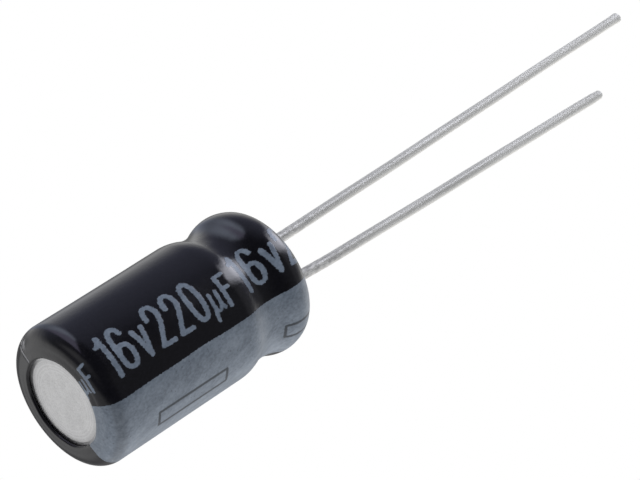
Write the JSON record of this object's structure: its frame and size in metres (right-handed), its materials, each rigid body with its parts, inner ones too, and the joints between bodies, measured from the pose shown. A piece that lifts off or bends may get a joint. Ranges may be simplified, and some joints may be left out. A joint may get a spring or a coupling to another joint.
{
  "type": "electrolytic capacitor",
  "caption": "Radial electrolytic capacitor: an aluminium can in a shrunk plastic sleeve, closed by a rubber seal with two wire leads, that stores charge in a wound foil element.",
  "frame": {"origin": "centre of the closed end, on the plane of the sleeve's lip that the part stands on", "axes": "+Z along the can towards the leads, +X from the axis towards the positive lead"},
  "size_m": [0.0066, 0.0066, 0.0399],
  "materials": {
    "sleeve": "glossy shrunk film with pale grey-blue print",
    "can_aluminium": "bright drawn sheet, finely mottled on the closed end",
    "seal_rubber": "matt moulded rubber",
    "lead_tin": "tinned copper-clad steel wire with drawing lines",
    "tab_aluminium": "bright pressed rod",
    "etched_foil": "matt etched foil",
    "plain_foil": "satin foil",
    "paper": "soaked tissue paper",
    "tape": "thin yellowish film tape"
  },
  "bodies": {
    "root": {"sleeve": "sleeve", "can": "can_aluminium", "seal": "seal_rubber", "lead_positive": "lead_tin", "lead_negative": "lead_tin", "tab_positive": "tab_aluminium", "tab_negative": "tab_aluminium", "anode_foil": "etched_foil", "cathode_foil": "plain_foil", "separator_inner": "paper", "separator_outer": "paper", "winding_tape": "tape"}
  },
  "joints": []
}
